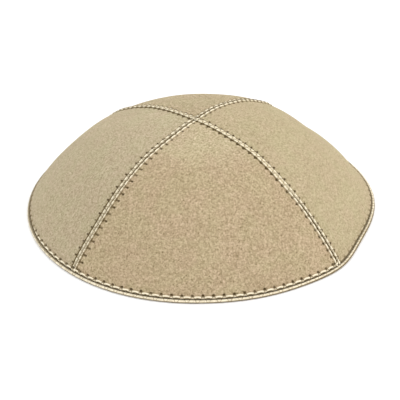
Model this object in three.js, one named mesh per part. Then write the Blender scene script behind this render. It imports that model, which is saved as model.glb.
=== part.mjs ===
// Kippah: four suede panels butted along four seams, with a folded trim strip round the rim.
// Millimetres and degrees, +Z up. The cap rests on the underside of its trim, front panel towards -Y.
// A bearing is measured round the crown from +X towards +Y. A reach runs from 0 at the crown to 1 at
// the lower edge of the panels.

import * as THREE from 'three';

// Driving dimensions
const RIM_RADIUS = 87;
const CROWN_HEIGHT = 50;
const RIM_WALL_ANGLE = 56;
const PANEL_WALL = 1.2;
const SEAM_GAP = 0.3;
const LIP_RISE = 0.5;
const LIP_WIDTH = 1.1;
const LIP_SLOPE = 0.9;
const LIP_EDGE_SHARE = 0.8;
const TRIM_WIDTH = 2.0;
const TRIM_HEIGHT = 1.5;
const TRIM_PROUD = 0.65;
const TRIM_GAP = 0.3;
const FOOT_PRESS = 0.3;

// How the soft dome stands away from a true cap, as shares of the rim radius across and of the
// crown height upwards
const CROWN_SHIFT_X = -0.010;
const CROWN_SHIFT_Y = -0.058;
const LEAN_RIGHT = 0.048;
const LEAN_BACK = 0.020;

// How each lift and wave is spread from the crown to the rim
const LEAN_SPREAD = { crownPower: 0.5, rimPower: 1 };
const SIDE_SPREAD = { crownPower: 2, rimPower: 1 };
const SHOULDER_SPREAD = { crownPower: 8, rimPower: 2 };
const RIM_WAVE_POWER = 4;
const FOLD_FADE_POWER = 40;

// The seams: bearing at the rim, bow half way up, and how far the stiff end pushes the rim out,
// as a share of the rim radius
const SEAMS = {
  backRight: { bearing: 46.5, bow: 0.3, corner: 0 },
  backLeft: { bearing: 133.0, bow: -0.4, corner: 0 },
  frontLeft: { bearing: 223.1, bow: 0, corner: 0 },
  frontRight: { bearing: 315.8, bow: 0, corner: 0.029 },
};
const CORNER_HALF_WIDTH = 11.3;

// Sections of the dome, a row every 30 degrees from bearing 0: how far the rim waves out, as a share
// of the rim radius, and how far the side and the shoulder lift, as shares of the crown height
const SECTIONS = [
  { rimOut: 0.030, sideLift: 0.002, shoulderLift: -0.033 },
  { rimOut: 0.009, sideLift: 0.013, shoulderLift: -0.059 },
  { rimOut: 0.006, sideLift: 0.006, shoulderLift: -0.032 },
  { rimOut: -0.001, sideLift: -0.008, shoulderLift: -0.017 },
  { rimOut: -0.006, sideLift: 0.022, shoulderLift: -0.004 },
  { rimOut: -0.008, sideLift: 0.032, shoulderLift: -0.009 },
  { rimOut: -0.003, sideLift: 0.028, shoulderLift: -0.016 },
  { rimOut: -0.004, sideLift: 0.022, shoulderLift: -0.037 },
  { rimOut: -0.004, sideLift: 0.014, shoulderLift: -0.034 },
  { rimOut: -0.006, sideLift: 0.006, shoulderLift: -0.012 },
  { rimOut: 0.012, sideLift: 0.003, shoulderLift: 0 },
  { rimOut: 0.001, sideLift: -0.001, shoulderLift: -0.009 },
];

// Soft folds and dents: where each one lies, how wide it is, and its rise as a share of the rim radius
const FOLDS = [
  { bearing: 38, halfBearing: 22, reach: 0.66, halfReach: 0.06, rise: 0.006 },
  { bearing: 25, halfBearing: 22, reach: 0.87, halfReach: 0.06, rise: 0.010 },
  { bearing: 14, halfBearing: 18, reach: 0.96, halfReach: 0.04, rise: -0.014 },
  { bearing: 172, halfBearing: 20, reach: 0.86, halfReach: 0.05, rise: -0.004 },
  { bearing: 155, halfBearing: 22, reach: 0.69, halfReach: 0.08, rise: 0.007 },
];

// Mesh density
const ROW_SPACING = 4.6;
const ROW_GROWTH = 0.3;
const COLUMN_SPACING = 6.0;
const TRIM_SEGMENTS = 72;
const TRIM_SECTION_POINTS = 12;
const LIP_ROOM = 0.9;
const NORMAL_STEP = 0.004;
const TRIM_ROUNDNESS = 2.6;

const SUEDE = { color: 0xc8b492, roughness: 0.95, metalness: 0 };
const TRIM_SUEDE = { color: 0xd2c09e, roughness: 0.9, metalness: 0 };

const radians = THREE.MathUtils.degToRad;

// The wall leans in by the same angle all round the rim
const capSine = Math.sin(radians(RIM_WALL_ANGLE));
const capCosine = Math.cos(radians(RIM_WALL_ANGLE));

// Lowest reach of a rounded trim section below its centre, for a given lean of the wall
function trimDrop(wallSlope) {
  const power = TRIM_ROUNDNESS / (TRIM_ROUNDNESS - 1);
  const across = (TRIM_WIDTH / 2) * Math.cos(wallSlope);
  const along = (TRIM_HEIGHT / 2) * Math.sin(wallSlope);
  return (across ** power + along ** power) ** (1 / power);
}

// Furthest reach of a rounded trim section out from its centre
function trimReach(wallSlope) {
  const power = TRIM_ROUNDNESS / (TRIM_ROUNDNESS - 1);
  const across = (TRIM_WIDTH / 2) * Math.sin(wallSlope);
  const along = (TRIM_HEIGHT / 2) * Math.cos(wallSlope);
  return (across ** power + along ** power) ** (1 / power);
}

// The rim, in the upright plane through the axis: the slope of the wall there, the trim's centre,
// and the panel edge that stands on it
function rimLayout() {
  const rise = CROWN_HEIGHT * capSine ** 2 / ((1 - capCosine) * capCosine);
  const slope = Math.atan2(rise, RIM_RADIUS);
  const upWall = { out: -Math.cos(slope), up: Math.sin(slope) };
  const offWall = { out: Math.sin(slope), up: Math.cos(slope) };
  const below = TRIM_GAP + TRIM_HEIGHT / 2;
  const inside = TRIM_WIDTH / 2 - TRIM_PROUD;
  const trimCentreUp = trimDrop(slope) - FOOT_PRESS;
  const trimCentreOut = RIM_RADIUS - trimReach(slope);
  return {
    slope,
    upWall,
    offWall,
    trimCentre: { out: trimCentreOut, up: trimCentreUp },
    panelEdge: {
      out: trimCentreOut + upWall.out * below + offWall.out * inside,
      up: trimCentreUp + upWall.up * below + offWall.up * inside,
    },
    wallPerReach: RIM_RADIUS / Math.cos(slope),
  };
}

const rim = rimLayout();

// Value of a named column of SECTIONS at any bearing, as a smooth closed curve through the rows
function sectionValue(column, bearing) {
  const count = SECTIONS.length;
  const place = THREE.MathUtils.euclideanModulo(bearing, 360) / 360 * count;
  const row = Math.floor(place);
  const part = place - row;
  const rowValue = (step) => SECTIONS[(row + step + count) % count][column];
  const [before, here, next, after] = [-1, 0, 1, 2].map(rowValue);
  const bend = (2 * before - 5 * here + 4 * next - after) * part ** 2;
  const twist = (3 * here - before - 3 * next + after) * part ** 3;
  return 0.5 * (2 * here + (next - before) * part + bend + twist);
}

// Smooth bump of height 1 about zero
function bump(distance, halfWidth) {
  return Math.exp(-((distance / halfWidth) ** 2));
}

// Turn from one bearing to another, between -180 and 180
function turn(from, to) {
  return THREE.MathUtils.euclideanModulo(to - from + 180, 360) - 180;
}

function cornerPush(bearing) {
  return Object.values(SEAMS).reduce(
    (sum, seam) => sum + seam.corner * bump(turn(seam.bearing, bearing), CORNER_HALF_WIDTH),
    0,
  );
}

function foldRise(bearing, reach) {
  const fade = 1 - reach ** FOLD_FADE_POWER;
  return FOLDS.reduce((sum, fold) => {
    const across = bump(turn(fold.bearing, bearing), fold.halfBearing);
    const along = bump(reach - fold.reach, fold.halfReach);
    return sum + RIM_RADIUS * fold.rise * fade * across * along;
  }, 0);
}

// A weight that is 1 at its peak and 0 at the crown and the rim
function weight(reach, { crownPower, rimPower }) {
  const peak = crownPower / (crownPower + rimPower);
  const shape = (at) => at ** crownPower * (1 - at) ** rimPower;
  return shape(reach) / shape(peak);
}

// A point on the outer face of the dome, without the seam lips
function domePoint(bearing, reach) {
  const angle = radians(bearing);
  const tilt = Math.asin(Math.min(1, reach * capSine));
  const fold = foldRise(bearing, reach);
  const rimPush = RIM_RADIUS * (sectionValue('rimOut', bearing) + cornerPush(bearing));
  const waves = rimPush * reach ** RIM_WAVE_POWER;
  const radius = rim.panelEdge.out * reach + waves + fold * Math.sin(tilt);
  const cap = (Math.cos(tilt) - capCosine) / (1 - capCosine);
  const lean = LEAN_RIGHT * Math.cos(angle) + LEAN_BACK * Math.sin(angle);
  const lift = lean * weight(reach ** 2, LEAN_SPREAD)
    + sectionValue('sideLift', bearing) * weight(reach, SIDE_SPREAD)
    + sectionValue('shoulderLift', bearing) * weight(reach, SHOULDER_SPREAD);
  const shift = RIM_RADIUS * (1 - reach ** 2);
  return new THREE.Vector3(
    radius * Math.cos(angle) + CROWN_SHIFT_X * shift,
    radius * Math.sin(angle) + CROWN_SHIFT_Y * shift,
    rim.panelEdge.up + (CROWN_HEIGHT - rim.panelEdge.up) * cap + CROWN_HEIGHT * lift + fold * Math.cos(tilt),
  );
}

// Outward direction of the dome's outer face
function domeNormal(bearing, reach) {
  const inner = domePoint(bearing, Math.max(0, reach - NORMAL_STEP));
  const outer = domePoint(bearing, Math.min(1, reach + NORMAL_STEP));
  const near = Math.max(reach, 3 * NORMAL_STEP);
  const right = domePoint(bearing - 1, near);
  const left = domePoint(bearing + 1, near);
  return outer.sub(inner).cross(left.sub(right)).normalize();
}

function seamBearing(seam, reach) {
  return seam.bearing + seam.bow * 4 * reach * (1 - reach);
}

// Height of a panel's lip at a distance from the panel's nearest edge
function lipHeight(distance) {
  if (distance >= LIP_WIDTH + LIP_SLOPE) return 0;
  if (distance > LIP_WIDTH) return LIP_RISE * (1 - (distance - LIP_WIDTH) / LIP_SLOPE);
  const crest = Math.sin(Math.PI * distance / LIP_WIDTH);
  return LIP_RISE * (LIP_EDGE_SHARE + (1 - LIP_EDGE_SHARE) * crest);
}

// Distances from an edge at which the mesh follows the lip's shape
const LIP_STEPS = [0, LIP_WIDTH / 2, LIP_WIDTH, LIP_WIDTH + LIP_SLOPE];

// The reaches of a panel's rows of points: close together at the crown and along the lower lip
function rowReaches(tipRadius) {
  const radius = rim.panelEdge.out;
  const crownRadii = [tipRadius, ...LIP_STEPS.slice(1).map((step) => (step + SEAM_GAP / 2) * Math.SQRT2)];
  const crownRows = crownRadii.map((at) => at / radius);
  const lowerRows = LIP_STEPS.map((step) => 1 - step / rim.wallPerReach).reverse();
  const first = crownRows.at(-1);
  const last = lowerRows[0];
  const count = Math.round((last - first) * radius / ROW_SPACING);
  const middle = Array.from({ length: count - 1 }, (_, index) => {
    const share = (index + 1) / count;
    return first + (last - first) * ((1 - ROW_GROWTH) * share + ROW_GROWTH * share ** 2);
  });
  return [...crownRows, ...middle, ...lowerRows];
}

// One row of a panel, from its right-hand seam to its left-hand seam as seen from outside
function panelRow(startSeam, endSeam, reach) {
  const radius = rim.panelEdge.out * reach;
  const start = seamBearing(startSeam, reach);
  const span = turn(start, seamBearing(endSeam, reach));
  const halfSpan = radians(span / 2);
  const offset = (distance) => {
    const angle = Math.asin(Math.min(1, (distance + SEAM_GAP / 2) / radius));
    return THREE.MathUtils.radToDeg(Math.min(angle, halfSpan));
  };
  const sideSteps = LIP_STEPS.filter((step) => step === 0 || step < radius * halfSpan * LIP_ROOM);
  const sideOffsets = sideSteps.map(offset);
  const innermost = sideOffsets.at(-1);
  if (offset(0) * 2 >= span - 1e-6) return [{ bearing: start + span / 2, reach }];
  const innerSpan = span - 2 * innermost;
  const count = Math.max(1, Math.round(radians(innerSpan) * radius / COLUMN_SPACING));
  const inner = Array.from({ length: count - 1 }, (_, index) => innermost + innerSpan * (index + 1) / count);
  const turns = [...sideOffsets, ...inner, ...sideOffsets.map((side) => span - side).reverse()];
  return turns.map((at) => ({ bearing: start + at, reach }));
}

// Distance in the panel's face from a point to the panel's nearest edge
function edgeDistance(startSeam, endSeam, point) {
  const radius = rim.panelEdge.out * point.reach;
  const toSeam = (seam) => {
    const away = radians(Math.abs(turn(seamBearing(seam, point.reach), point.bearing)));
    return radius * Math.sin(Math.min(away, Math.PI / 2)) - SEAM_GAP / 2;
  };
  const toRim = (1 - point.reach) * rim.wallPerReach;
  return Math.max(0, Math.min(toSeam(startSeam), toSeam(endSeam), toRim));
}

// Triangles between two neighbouring rows of points, by the shorter diagonal each time
function stitchRows(points, upper, lower) {
  const triangles = [];
  let up = 0;
  let low = 0;
  while (up < upper.length - 1 || low < lower.length - 1) {
    const alongLower = low < lower.length - 1
      ? points[upper[up]].distanceTo(points[lower[low + 1]]) : Infinity;
    const alongUpper = up < upper.length - 1
      ? points[upper[up + 1]].distanceTo(points[lower[low]]) : Infinity;
    if (alongLower <= alongUpper) {
      triangles.push([upper[up], lower[low], lower[low + 1]]);
      low += 1;
    } else {
      triangles.push([upper[up], lower[low], upper[up + 1]]);
      up += 1;
    }
  }
  return triangles;
}

// Walls along the free edges of an outer face whose inner face repeats its points in the same order
function edgeWalls(triangles, count) {
  const key = (from, to) => from * count + to;
  const edges = triangles.flatMap(([a, b, c]) => [[a, b], [b, c], [c, a]]);
  const known = new Set(edges.map(([from, to]) => key(from, to)));
  const free = edges.filter(([from, to]) => !known.has(key(to, from)));
  return free.flatMap(([from, to]) => [
    [to, from, from + count],
    [to, from + count, to + count],
  ]);
}

function meshGeometry(points, triangles) {
  const geometry = new THREE.BufferGeometry();
  const positions = points.flatMap((point) => point.toArray());
  geometry.setAttribute('position', new THREE.Float32BufferAttribute(positions, 3));
  geometry.setIndex(triangles.flat());
  geometry.computeVertexNormals();
  return geometry;
}

// A panel: the dome between two seams, with a lip along its edges and a flat back
function panelGeometry(startSeam, endSeam) {
  const halfSpan = radians(turn(startSeam.bearing, endSeam.bearing) / 2);
  const tipRadius = SEAM_GAP / 2 / Math.sin(halfSpan);
  const rows = rowReaches(tipRadius).map((reach) => panelRow(startSeam, endSeam, reach));
  const outer = [];
  const inner = [];
  const rowIndices = rows.map((row) => row.map((place) => {
    const point = domePoint(place.bearing, place.reach);
    const normal = domeNormal(place.bearing, place.reach);
    const lip = lipHeight(edgeDistance(startSeam, endSeam, place));
    outer.push(point.clone().addScaledVector(normal, lip));
    inner.push(point.clone().addScaledVector(normal, -PANEL_WALL));
    return outer.length - 1;
  }));
  const face = rowIndices.slice(1).flatMap((lower, index) => stitchRows(outer, rowIndices[index], lower));
  const back = face.map(([a, b, c]) => [a + outer.length, c + outer.length, b + outer.length]);
  return meshGeometry([...outer, ...inner], [...face, ...back, ...edgeWalls(face, outer.length)]);
}

// Rounded section of the trim, off the wall and up the wall from its centre
function trimSection() {
  return Array.from({ length: TRIM_SECTION_POINTS }, (_, index) => {
    const angle = 2 * Math.PI * (index + 0.5) / TRIM_SECTION_POINTS;
    const rounded = (value) => Math.sign(value) * Math.abs(value) ** (2 / TRIM_ROUNDNESS);
    return {
      off: (TRIM_WIDTH / 2) * rounded(Math.cos(angle)),
      up: (TRIM_HEIGHT / 2) * rounded(Math.sin(angle)),
    };
  });
}

// Outward direction of the rim in plan
function rimOutward(bearing) {
  const ahead = domePoint(bearing + 0.5, 1);
  const behind = domePoint(bearing - 0.5, 1);
  return new THREE.Vector2(ahead.y - behind.y, behind.x - ahead.x).normalize();
}

// The trim: a closed ring of that section under the panels' lower edge, pressed flat where it rests
function trimGeometry() {
  const section = trimSection();
  const centreOut = rim.trimCentre.out - rim.panelEdge.out;
  const rings = Array.from({ length: TRIM_SEGMENTS }, (_, segment) => {
    const bearing = 360 * segment / TRIM_SEGMENTS;
    const edge = domePoint(bearing, 1);
    const outward = rimOutward(bearing);
    return section.map(({ off, up }) => {
      const out = centreOut + off * rim.offWall.out + up * rim.upWall.out;
      const height = rim.trimCentre.up + off * rim.offWall.up + up * rim.upWall.up;
      return new THREE.Vector3(edge.x + outward.x * out, edge.y + outward.y * out, Math.max(0, height));
    });
  });
  const count = TRIM_SECTION_POINTS;
  const triangles = rings.flatMap((_, segment) => {
    const here = segment * count;
    const ahead = ((segment + 1) % TRIM_SEGMENTS) * count;
    return section.flatMap((__, index) => {
      const next = (index + 1) % count;
      return [
        [here + index, ahead + index, ahead + next],
        [here + index, ahead + next, here + next],
      ];
    });
  });
  return meshGeometry(rings.flat(), triangles);
}

function pieceMesh(name, geometry, finish) {
  const mesh = new THREE.Mesh(geometry, new THREE.MeshStandardMaterial(finish));
  mesh.name = name;
  return mesh;
}

const kippah = new THREE.Group();
kippah.add(
  pieceMesh('panel_front', panelGeometry(SEAMS.frontLeft, SEAMS.frontRight), SUEDE),
  pieceMesh('panel_right', panelGeometry(SEAMS.frontRight, SEAMS.backRight), SUEDE),
  pieceMesh('panel_back', panelGeometry(SEAMS.backRight, SEAMS.backLeft), SUEDE),
  pieceMesh('panel_left', panelGeometry(SEAMS.backLeft, SEAMS.frontLeft), SUEDE),
  pieceMesh('rim_trim', trimGeometry(), TRIM_SUEDE),
);

// The origin is the middle of the whole cap in plan, on the surface that it rests on
const middle = new THREE.Box3().setFromObject(kippah, true).getCenter(new THREE.Vector3());
kippah.position.set(-middle.x, -middle.y, 0);

export default kippah;
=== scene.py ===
"""The looks of a suede kippah: four stitched panels, a folded rim trim and the zigzag thread.

Metres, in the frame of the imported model: +Z up, front panel towards -Y, the rim resting on Z = 0.
A bearing is in degrees round the crown from +X towards +Y. A reach runs from 0 at the crown to 1 at
the lower edge of the panels. A phase is a place along a stitched edge, counted in stitches.
"""
import math

import bpy
import numpy as np
from mathutils import Matrix, Vector


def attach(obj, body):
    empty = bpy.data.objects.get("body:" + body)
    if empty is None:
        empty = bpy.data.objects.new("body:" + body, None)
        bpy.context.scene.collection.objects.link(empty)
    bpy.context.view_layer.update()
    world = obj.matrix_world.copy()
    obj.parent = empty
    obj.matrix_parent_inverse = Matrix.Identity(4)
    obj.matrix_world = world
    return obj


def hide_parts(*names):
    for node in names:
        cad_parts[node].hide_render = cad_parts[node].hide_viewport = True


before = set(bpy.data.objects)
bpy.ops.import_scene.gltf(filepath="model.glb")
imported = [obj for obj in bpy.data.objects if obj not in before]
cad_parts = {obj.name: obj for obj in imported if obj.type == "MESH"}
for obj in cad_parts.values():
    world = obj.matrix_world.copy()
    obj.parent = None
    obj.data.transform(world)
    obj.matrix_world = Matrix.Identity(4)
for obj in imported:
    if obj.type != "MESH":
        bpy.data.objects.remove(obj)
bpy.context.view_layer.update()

MM = 0.001

# Sizes of the dome and its pieces. They are the solids' own, apart from the narrower seam gap
RIM_RADIUS = 87 * MM
CROWN_HEIGHT = 50 * MM
RIM_WALL_ANGLE = math.radians(56)
PANEL_WALL = 1.2 * MM
SEAM_GAP = 0.14 * MM
TRIM_WIDTH = 2.0 * MM
TRIM_HEIGHT = 1.5 * MM
TRIM_PROUD = 0.65 * MM
TRIM_GAP = 0.3 * MM
TRIM_ROUNDNESS = 2.6
FOOT_PRESS = 0.3 * MM
CROWN_SHIFT_X = -0.010
CROWN_SHIFT_Y = -0.058
LEAN_RIGHT = 0.048
LEAN_BACK = 0.020
LEAN_SPREAD = (0.5, 1)
SIDE_SPREAD = (2, 1)
SHOULDER_SPREAD = (8, 2)
RIM_WAVE_POWER = 4
FOLD_FADE_POWER = 40
# The rim is pushed out where the front right seam ends: bearing, half width in degrees, and push
RIM_CORNER = (315.8, 11.3, 0.029)
# The reaches over which a seam's turn near the crown comes in
CROWN_TURN_SPREAD = (0.66, 0.36)

# The seams: bearing at the rim, bow half way up, and turn of the part near the crown, in degrees. They
# follow the photo more closely than the solids' seams do, by up to 2.2 degrees. Then, for the panel
# that starts at the seam and for the one that ends there: how far the needle holes are from the joint,
# and, near the crown and near the rim, how far the lip is pulled up and painted pale, as its paler cut
# edge with a painted highlight, and how deep the crease beside it is and how dark its painted shade is.
# The lip's place and the darkness of the painted shade in the cut are for the crown and the rim too.
SEAMS = {
    "back_right": {
        "bearing": 46.5, "bow": 0.3, "crown_turn": 0, "holes": (2.3 * MM, 2.3 * MM),
        "lips": ((1.0, 1.0), (1.0, 1.0)), "lip_places": (0.95 * MM, 0.85 * MM), "cut": (0.95, 0.95),
        "creases": ((0.35, 0.3), (0.4, 0.4)),
    },
    "back_left": {
        "bearing": 133.0, "bow": -0.4, "crown_turn": -2.2, "holes": (1.8 * MM, 2.1 * MM),
        "lips": ((1.0, 1.0), (1.0, 1.0)), "lip_places": (0.45 * MM, 0.6 * MM), "cut": (0.1, 0.4),
        "creases": ((1.1, 0.9), (1.3, 0.7)),
    },
    "front_left": {
        "bearing": 224.2, "bow": 0, "crown_turn": -1.1, "holes": (3.0 * MM, 2.5 * MM),
        "lips": ((1.0, 0.72), (1.0, 0.72)), "lip_places": (1.0 * MM, 0.62 * MM), "cut": (0.85, 0.7),
        "creases": ((0.1, 0.6), (1.1, 1.7)),
    },
    "front_right": {
        "bearing": 315.0, "bow": 0, "crown_turn": 0.8, "holes": (2.15 * MM, 1.75 * MM),
        "lips": ((1.0, 1.0), (1.0, 0.95)), "lip_places": (0.43 * MM, 0.85 * MM), "cut": (0.1, 0.95),
        "creases": ((1.2, 0.3), (0.95, 0.35)),
    },
}

# The panels, each from one seam round to the next: how its hide differs in tone, partly its own tone and
# partly painted light for how brightly and warmly the panel is lit, and how much more so near the crown,
# where the painted light makes it lighter, how strong its grain is, and how strongly its lower edge is
# pulled up into a lip near each of the two seams
PANELS = {
    "panel_front": {
        "seams": ("front_left", "front_right"), "tone": (1.03, 1.0, 0.94),
        "painted_crown_light": (1.08, 1.13, 1.16), "grain": 1.0, "rim_lips": (1.0, 1.0),
    },
    "panel_right": {
        "seams": ("front_right", "back_right"), "tone": (1.015, 1.035, 0.97),
        "painted_crown_light": (1.0, 1.0, 1.0), "grain": 0.78, "rim_lips": (0.1, 0.1),
    },
    "panel_back": {
        "seams": ("back_right", "back_left"), "tone": (0.965, 0.965, 0.91),
        "painted_crown_light": (1.0, 1.0, 1.0), "grain": 1.2, "rim_lips": (0.4, 0.4),
    },
    "panel_left": {
        "seams": ("back_left", "front_left"), "tone": (1.02, 1.055, 1.045),
        "painted_crown_light": (1.03, 1.04, 1.04), "grain": 0.8, "rim_lips": (0.0, 1.0),
    },
}
# The heights over which a panel's painted light near the crown comes in
CROWN_LIGHT_SPREAD = (40 * MM, 48.5 * MM)

# Sections of the dome every 30 degrees: rim wave, side lift and shoulder lift, as shares
SECTIONS = {
    "rim_out": (
        0.030, 0.009, 0.006, -0.001, -0.006, -0.008,
        -0.003, -0.004, -0.004, -0.006, 0.012, 0.001,
    ),
    "side_lift": (
        0.002, 0.013, 0.006, -0.008, 0.022, 0.032,
        0.028, 0.022, 0.014, 0.006, 0.003, -0.001,
    ),
    "shoulder_lift": (
        -0.033, -0.059, -0.032, -0.017, -0.004, -0.009,
        -0.016, -0.037, -0.034, -0.012, 0, -0.009,
    ),
}

# Soft folds and dents: bearing, half width in degrees, reach, half width in reach, rise
FOLDS = (
    (38, 22, 0.66, 0.06, 0.006),
    (25, 22, 0.87, 0.06, 0.010),
    (14, 18, 0.96, 0.04, -0.014),
    (172, 20, 0.86, 0.05, -0.004),
    (155, 22, 0.69, 0.08, 0.007),
)

# Where the trim bulges out or is tucked in: bearing, spread in degrees to each side, share of the bulge
TRIM_PLACES = (
    (335, 34, 1.0),
    (182, 36, -0.6),
)
TRIM_BULGE = 0.45 * MM
TRIM_SWELL = 0.05

# The lips along the stitched edges, which the stitches pinch and the rim's stitches sway
LIP_RISE = 0.65 * MM
LIP_PINCH = 0.24
LIP_HALF_WIDTH = 0.56 * MM
LIP_ROUNDNESS = 0.7
RIM_LIP_PLACE = 0.90 * MM
RIM_LIP_SPREAD = (0.64, 0.80)
RIM_LIP_SWAY = 0.28 * MM
RIM_SWAY_SPREAD = (2.2 * MM, 1.0 * MM)
# The cuts, creases and needle holes beside them, and the share of a hollow that a lip fills
CUT_DROP = 0.30 * MM
CUT_SHARE = 0.6
CREASE_DEPTH = 0.22 * MM
CREASE_OFFSET = 0.85 * MM
CREASE_HALF_WIDTH = 0.26 * MM
CREASE_DEEPEST = 1.2
CREASE_PULSE = (0.7, 0.3)
RIM_CREASE_DEPTH = 0.5
HOLE_DEPTH = 0.40 * MM
HOLE_HALF_LENGTH = 0.48 * MM
HOLE_HALF_WIDTH = 0.48 * MM
LIP_FILLS = 0.6
# The stitches, counted from the crown, over which the cut's painted shade, the creases, the lips and the
# holes change
OPENING_SPREAD = (11, 20)
CREASE_SPREAD = (9, 19)
LIP_SPREAD = (4, 23)
HOLES_SPREAD = (3, 13)
# Darkness of the painted shade in the rim's cut and crease. They are the same all along, so their
# change is put before it
RIM_CUT_SHADE = 0.72
RIM_CREASE = 0.12
BEFORE_RIM = (-2, -1)
# The hide sinks towards the seams
SEAM_SINK = 0.12 * MM
SEAM_SINK_WIDTH = 6 * MM
# Wavelength, direction in degrees, phase and height of the soft waves left in the hide
HIDE_WAVES = (
    (52 * MM, 20, 0.4, 0.16 * MM),
    (37 * MM, 95, 1.9, 0.13 * MM),
    (29 * MM, 150, 3.1, 0.09 * MM),
    (21 * MM, 60, 5.0, 0.06 * MM),
)
WAVE_FADE_POWER = 8

# Zigzag stitches: pitch, and how far each needle hole is from the joint
SEAM_PITCH = 3.7 * MM
RIM_PITCH = 4.8 * MM
RIM_HOLES = 1.75 * MM
CROWN_HOLES = 1.75 * MM

# The thread. How far it is from a lip, the dome, the hide's back and the trim's face is in radii
THREAD_RADIUS = 0.12 * MM
THREAD_OVER_LIP = 0.9
THREAD_BESIDE_LIP = 0.3
THREAD_ON_BACK = 0.8
THREAD_ON_TRIM = 0.7
# The share of the pinch at which it crosses a lip, and how far past the crest it comes down
LIP_UNDER_THREAD = 0.8
THREAD_COMES_DOWN = (0.2 * MM, 0.75 * MM)
# How far it goes into a hole, and how far before the hole it starts and ends to do so
THREAD_DIVE = 0.6 * MM
THREAD_DIVES = (0.6 * MM, 0.3 * MM)
BACK_DIVE = 0.5 * MM
BACK_DIVES = (0.5 * MM, 0.15 * MM)
# How far from the crown and from the rim a seam's thread stops
CROWN_STOP = 0.4 * MM
CROSSING_CLEARANCE = 2.2 * MM
RIM_STOP = 1.2 * MM
# How far below the trim's middle the rim's thread goes, as a share of its height. The thread comes onto
# the trim between a place above the panels' edge and a share of the way down to the trim's middle
UNDER_TRIM = 0.72
ONTO_TRIM_START = 0.2 * MM
ONTO_TRIM = 0.6

# Mesh density, and the tip of a panel: where its columns stop closing in, and its clearance
EDGE_STEPS = np.array(
    [0, 0.08, 0.18, 0.3, 0.45, 0.6, 0.75, 0.9, 1.05, 1.2, 1.35, 1.55, 1.8, 2.1, 2.5, 3.0, 3.7, 4.6]
) * MM
EDGE_ROOM = 1.6
INNER_COLUMNS = 100
ROW_STEP = 0.7 * MM
TIP_RADIUS = 3 * MM
TIP_CLEARANCE = 1.02
TRIM_SEGMENTS = 1200
TRIM_SECTION_POINTS = 26
THREAD_SIDES = 8
POINTS_PER_LEG = 14
CRISP_ANGLE = math.radians(55)

# The hide's colour, and what its pinkish and greenish patches multiply it by
SUEDE_COLOUR = (0.438, 0.354, 0.238)
PINKISH = (1.03, 1.0, 1.01)
GREENISH = (1.0, 1.02, 0.98)
# How much more the grain darkens green and blue than red, as powers
GRAIN_GREEN = 1.06
GRAIN_BLUE = 1.35
# The back of the hide and the trim are paler than the panels' faces
BACK_TONE = (1.08, 1.08, 1.08)
TRIM_TONE = (1.05, 1.05, 1.05)
# Other colours: red, green, blue, and 1 for opaque
# Pale lips: their paler cut edge with a painted highlight; the trim's fold has the same painted highlight
PALE_EDGE_AND_HIGHLIGHT_COLOUR = (1.0, 0.91, 0.70, 1.0)
# Painted shade in the needle holes and in the thread's shadow beside them
PAINTED_HOLE_SHADE_COLOUR = (0.050, 0.028, 0.005, 1.0)
# Painted shade in the cuts, the creases, the trim's groove and under the trim
PAINTED_SHADE_COLOUR = (0.110, 0.072, 0.018, 1.0)
THREAD_DARK = (0.15, 0.105, 0.042, 1.0)
THREAD_PALE = (0.27, 0.195, 0.09, 1.0)
FLOOR_DARK = (0.955, 0.955, 0.955, 1.0)
FLOOR_PALE = (0.97, 0.97, 0.97, 1.0)

# Noise patterns in the shaders: scale per metre, detail, roughness and distortion
PATCH_NOISE = (90, 3, 0.6, 0.0)
SLOW_NOISE = (45, 2, 0.5, 0.0)
NAP_NOISE = (1050, 7, 0.74, 0.5)
FLECK_NOISE = (1500, 5, 0.65, 0.8)
FACE_FIBRE_NOISE = (2600, 3, 0.7, 0.0)
BACK_FIBRE_NOISE = (1500, 5, 0.75, 0.8)
TRIM_NOISE = (300, 3, 0.6, 0.0)
PLY_NOISE = (3200, 2, 0.5, 0.4)
FLOOR_NOISE = (2.0, 2, 0.5, 0.0)

# Ranges in the shaders: an input's low and high, and the result at each of them, or else 0 and 1
NAP_LEVELS = (0.62, 1.40)
NAP_RANGE = (0.3, 0.7, *NAP_LEVELS)
FLECK_RANGE = (0.30, 0.48, 0.32, 1.0)
PATCH_RANGE = (0.35, 0.65)
SLOW_RANGE = (0.3, 0.7, 0.985, 1.015)
# How the nap varies the pale lips and their painted highlight
LIP_PALE_BY_NAP = (*NAP_LEVELS, 0.8, 1.0)
FACE_ROUGHNESS = (*NAP_LEVELS, 0.98, 0.86)
PLY_RANGE = (0.35, 0.65)
FLOOR_RANGE = (0.3, 0.7)
# Heights of the fibres and flecks beside the nap's, and how ragged the nap leaves the edges
FACE_FIBRE_HEIGHT = 0.35
BACK_FIBRE_HEIGHT = 0.7
FLECK_HEIGHT = 0.5
RAGGED_EDGE = 0.3

# Ranges in the stitching's masks, of the pale lips with their painted highlight and of the painted shade
# in cuts, creases and needle holes, with distances in mm and places between two holes in stitches
LIP_FADE = (0.33, 0.54, 1.0, 0.0)
BEAD_PINCH = (0.05, 0.19, 0.58, 1.0)
CREASE_START = (0.26, 0.44)
CREASE_END = (0.85, 1.40, 1.0, 0.0)
CREASE_WIDENING = (1.0, 2.0, 0.0, 0.4)
CREASE_AT_HOLES = (0.20, 0.38, 1.35, 0.48)
CREASE_PER_LIP = 2.0
CUT_FADE = (-0.55, -0.28, 1.0, 0.0)
CUT_WIDENING = (0.0, 1.0, 0.35, 0.0)
HOLE_FADE = (0.6, 1.7, 1.0, 0.0)
HOLE_PAST_LIP = (0.38, 0.62)
HOLE_BY_LIP = (0.05, 0.45)
HOLE_DARKNESS = (0.0, 0.6, 0.6, 0.92)
# How far the holes' painted shade is out of line from hole to hole in mm, and how much wider than their
# hollow it shows
HOLE_SCATTER = 0.3
HOLE_WIDER = 1.3
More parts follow.
